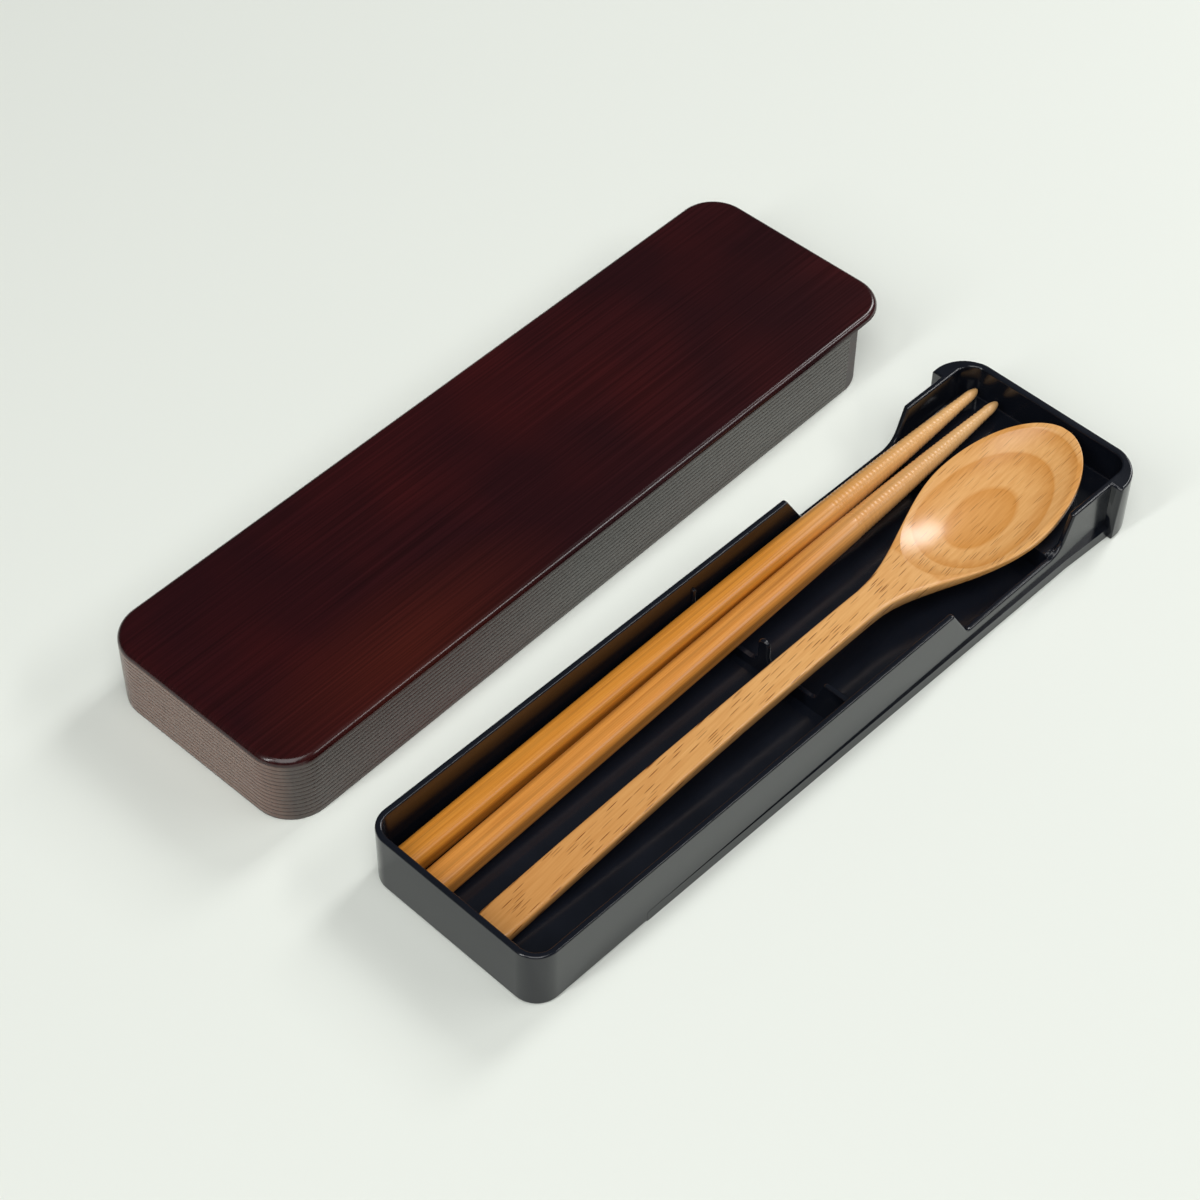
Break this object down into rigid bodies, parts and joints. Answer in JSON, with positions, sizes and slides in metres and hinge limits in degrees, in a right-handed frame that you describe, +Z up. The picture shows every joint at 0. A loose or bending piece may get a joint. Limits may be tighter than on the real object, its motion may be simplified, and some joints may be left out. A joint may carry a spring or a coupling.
{
  "type": "portable chopstick case",
  "caption": "Slim hard case for chopsticks and a spoon: a sliding cover laid beside its open tray, which has a partition, finger notches and a wide head that stops the cover.",
  "frame": {"origin": "middle of the tray's flat underside, on the table", "axes": "+Y along the tray towards its wide head, +Z up, +X to the right seen from the near end"},
  "size_m": [0.1382, 0.2067, 0.02],
  "materials": {
    "cover": "satin gloss",
    "tray": "gloss",
    "chopstick": "varnished",
    "spoon": "varnished"
  },
  "bodies": {
    "tray": {"tray": "tray"},
    "cover": {"cover": "cover"},
    "chopstick_left": {"chopstick_left": "chopstick"},
    "chopstick_right": {"chopstick_right": "chopstick"},
    "spoon": {"spoon": "spoon"}
  },
  "joints": [
    {"name": "cover_slide", "type": "slide", "parent": "tray", "child": "cover", "axis": [0.0265, -0.9996, 0], "range_m": [0, 0.202]},
    {"name": "chopstick_left_lift", "type": "slide", "parent": "tray", "child": "chopstick_left", "axis": [0, 0, 1], "range_m": [0, 0.05]},
    {"name": "chopstick_right_lift", "type": "slide", "parent": "tray", "child": "chopstick_right", "axis": [0, 0, 1], "range_m": [0, 0.05]},
    {"name": "spoon_lift", "type": "slide", "parent": "tray", "child": "spoon", "axis": [0, 0, 1], "range_m": [0, 0.05]}
  ]
}
